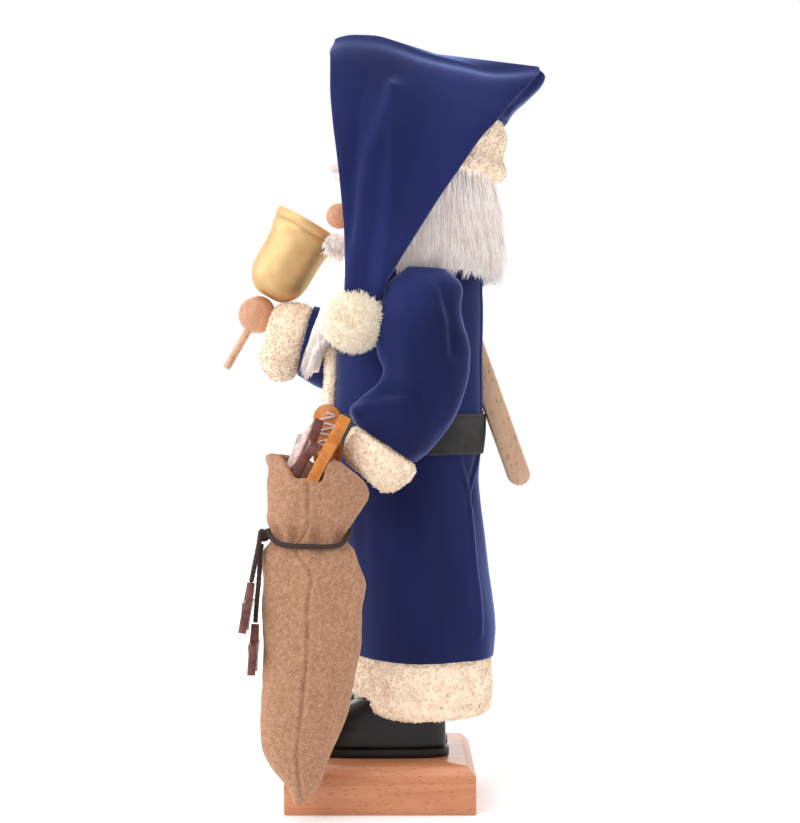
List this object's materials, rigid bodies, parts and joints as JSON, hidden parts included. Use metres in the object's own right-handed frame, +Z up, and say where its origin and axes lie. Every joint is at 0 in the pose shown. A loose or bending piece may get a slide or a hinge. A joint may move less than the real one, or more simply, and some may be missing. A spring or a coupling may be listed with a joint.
{
  "type": "santa nutcracker",
  "caption": "Wooden santa nutcracker in a velvet coat and stocking cap, with a bell, a felt sack of cookies and fur hair; a lever at the back drops the jaw.",
  "frame": {"origin": "the middle of the base's underside", "axes": "+Z up the figure; the figure faces -Y; +X is his own left side, where the sack hangs"},
  "size_m": [0.1878, 0.1986, 0.4547],
  "materials": {
    "lacquered_beech": "warm satin lacquer over beech",
    "pale_beech": "plain sanded beech",
    "skin_paint": "satin flesh paint on turned wood",
    "black_gloss": "black gloss paint on turned wood",
    "blue_velvet": "short blue velvet",
    "teddy": "cream curled teddy pile",
    "white_fur": "long white fur",
    "leather": "dark grey fine-grained leather",
    "satin_gold": "satin gold",
    "felt": "mottled brown felt",
    "cookie_orange": "satin orange-brown paint",
    "cookie_brown": "dark brown stain",
    "cord": "dark brown twisted cord"
  },
  "bodies": {
    "figure": {"base": "lacquered_beech", "sole_left": "black_gloss", "sole_right": "black_gloss", "boot_left": "black_gloss", "boot_right": "black_gloss", "coat": "blue_velvet", "coat_hem_trim": "teddy", "coat_front_trim": "teddy", "belt": "leather", "belt_buckle": "satin_gold", "sleeve_left": "blue_velvet", "sleeve_right": "blue_velvet", "cuff_left": "teddy", "cuff_right": "teddy", "hand_left": "lacquered_beech", "hand_right": "lacquered_beech", "bell": "satin_gold", "bell_handle": "pale_beech", "head": "skin_paint", "nose": "lacquered_beech", "hair": "white_fur", "beard": "white_fur", "moustache": "white_fur", "brow_left": "white_fur", "brow_right": "white_fur", "cap": "blue_velvet", "cap_trim": "teddy", "pompom": "teddy", "sack": "felt", "sack_tie": "cord", "cookie_star_orange": "cookie_orange", "cookie_star_dark": "cookie_brown", "cookie_long": "cookie_orange", "cord_tail_a": "cord", "cord_tail_b": "cord", "cord_star_a": "cookie_brown", "cord_star_b": "cookie_brown"},
    "jaw": {"jaw_lever": "pale_beech"}
  },
  "joints": [
    {"name": "jaw_hinge", "type": "hinge", "parent": "figure", "child": "jaw", "pos_m": [0, 0.03, 0.312], "axis": [1, 0, 0], "range_deg": [0, 20], "deforming": ["beard"]}
  ]
}
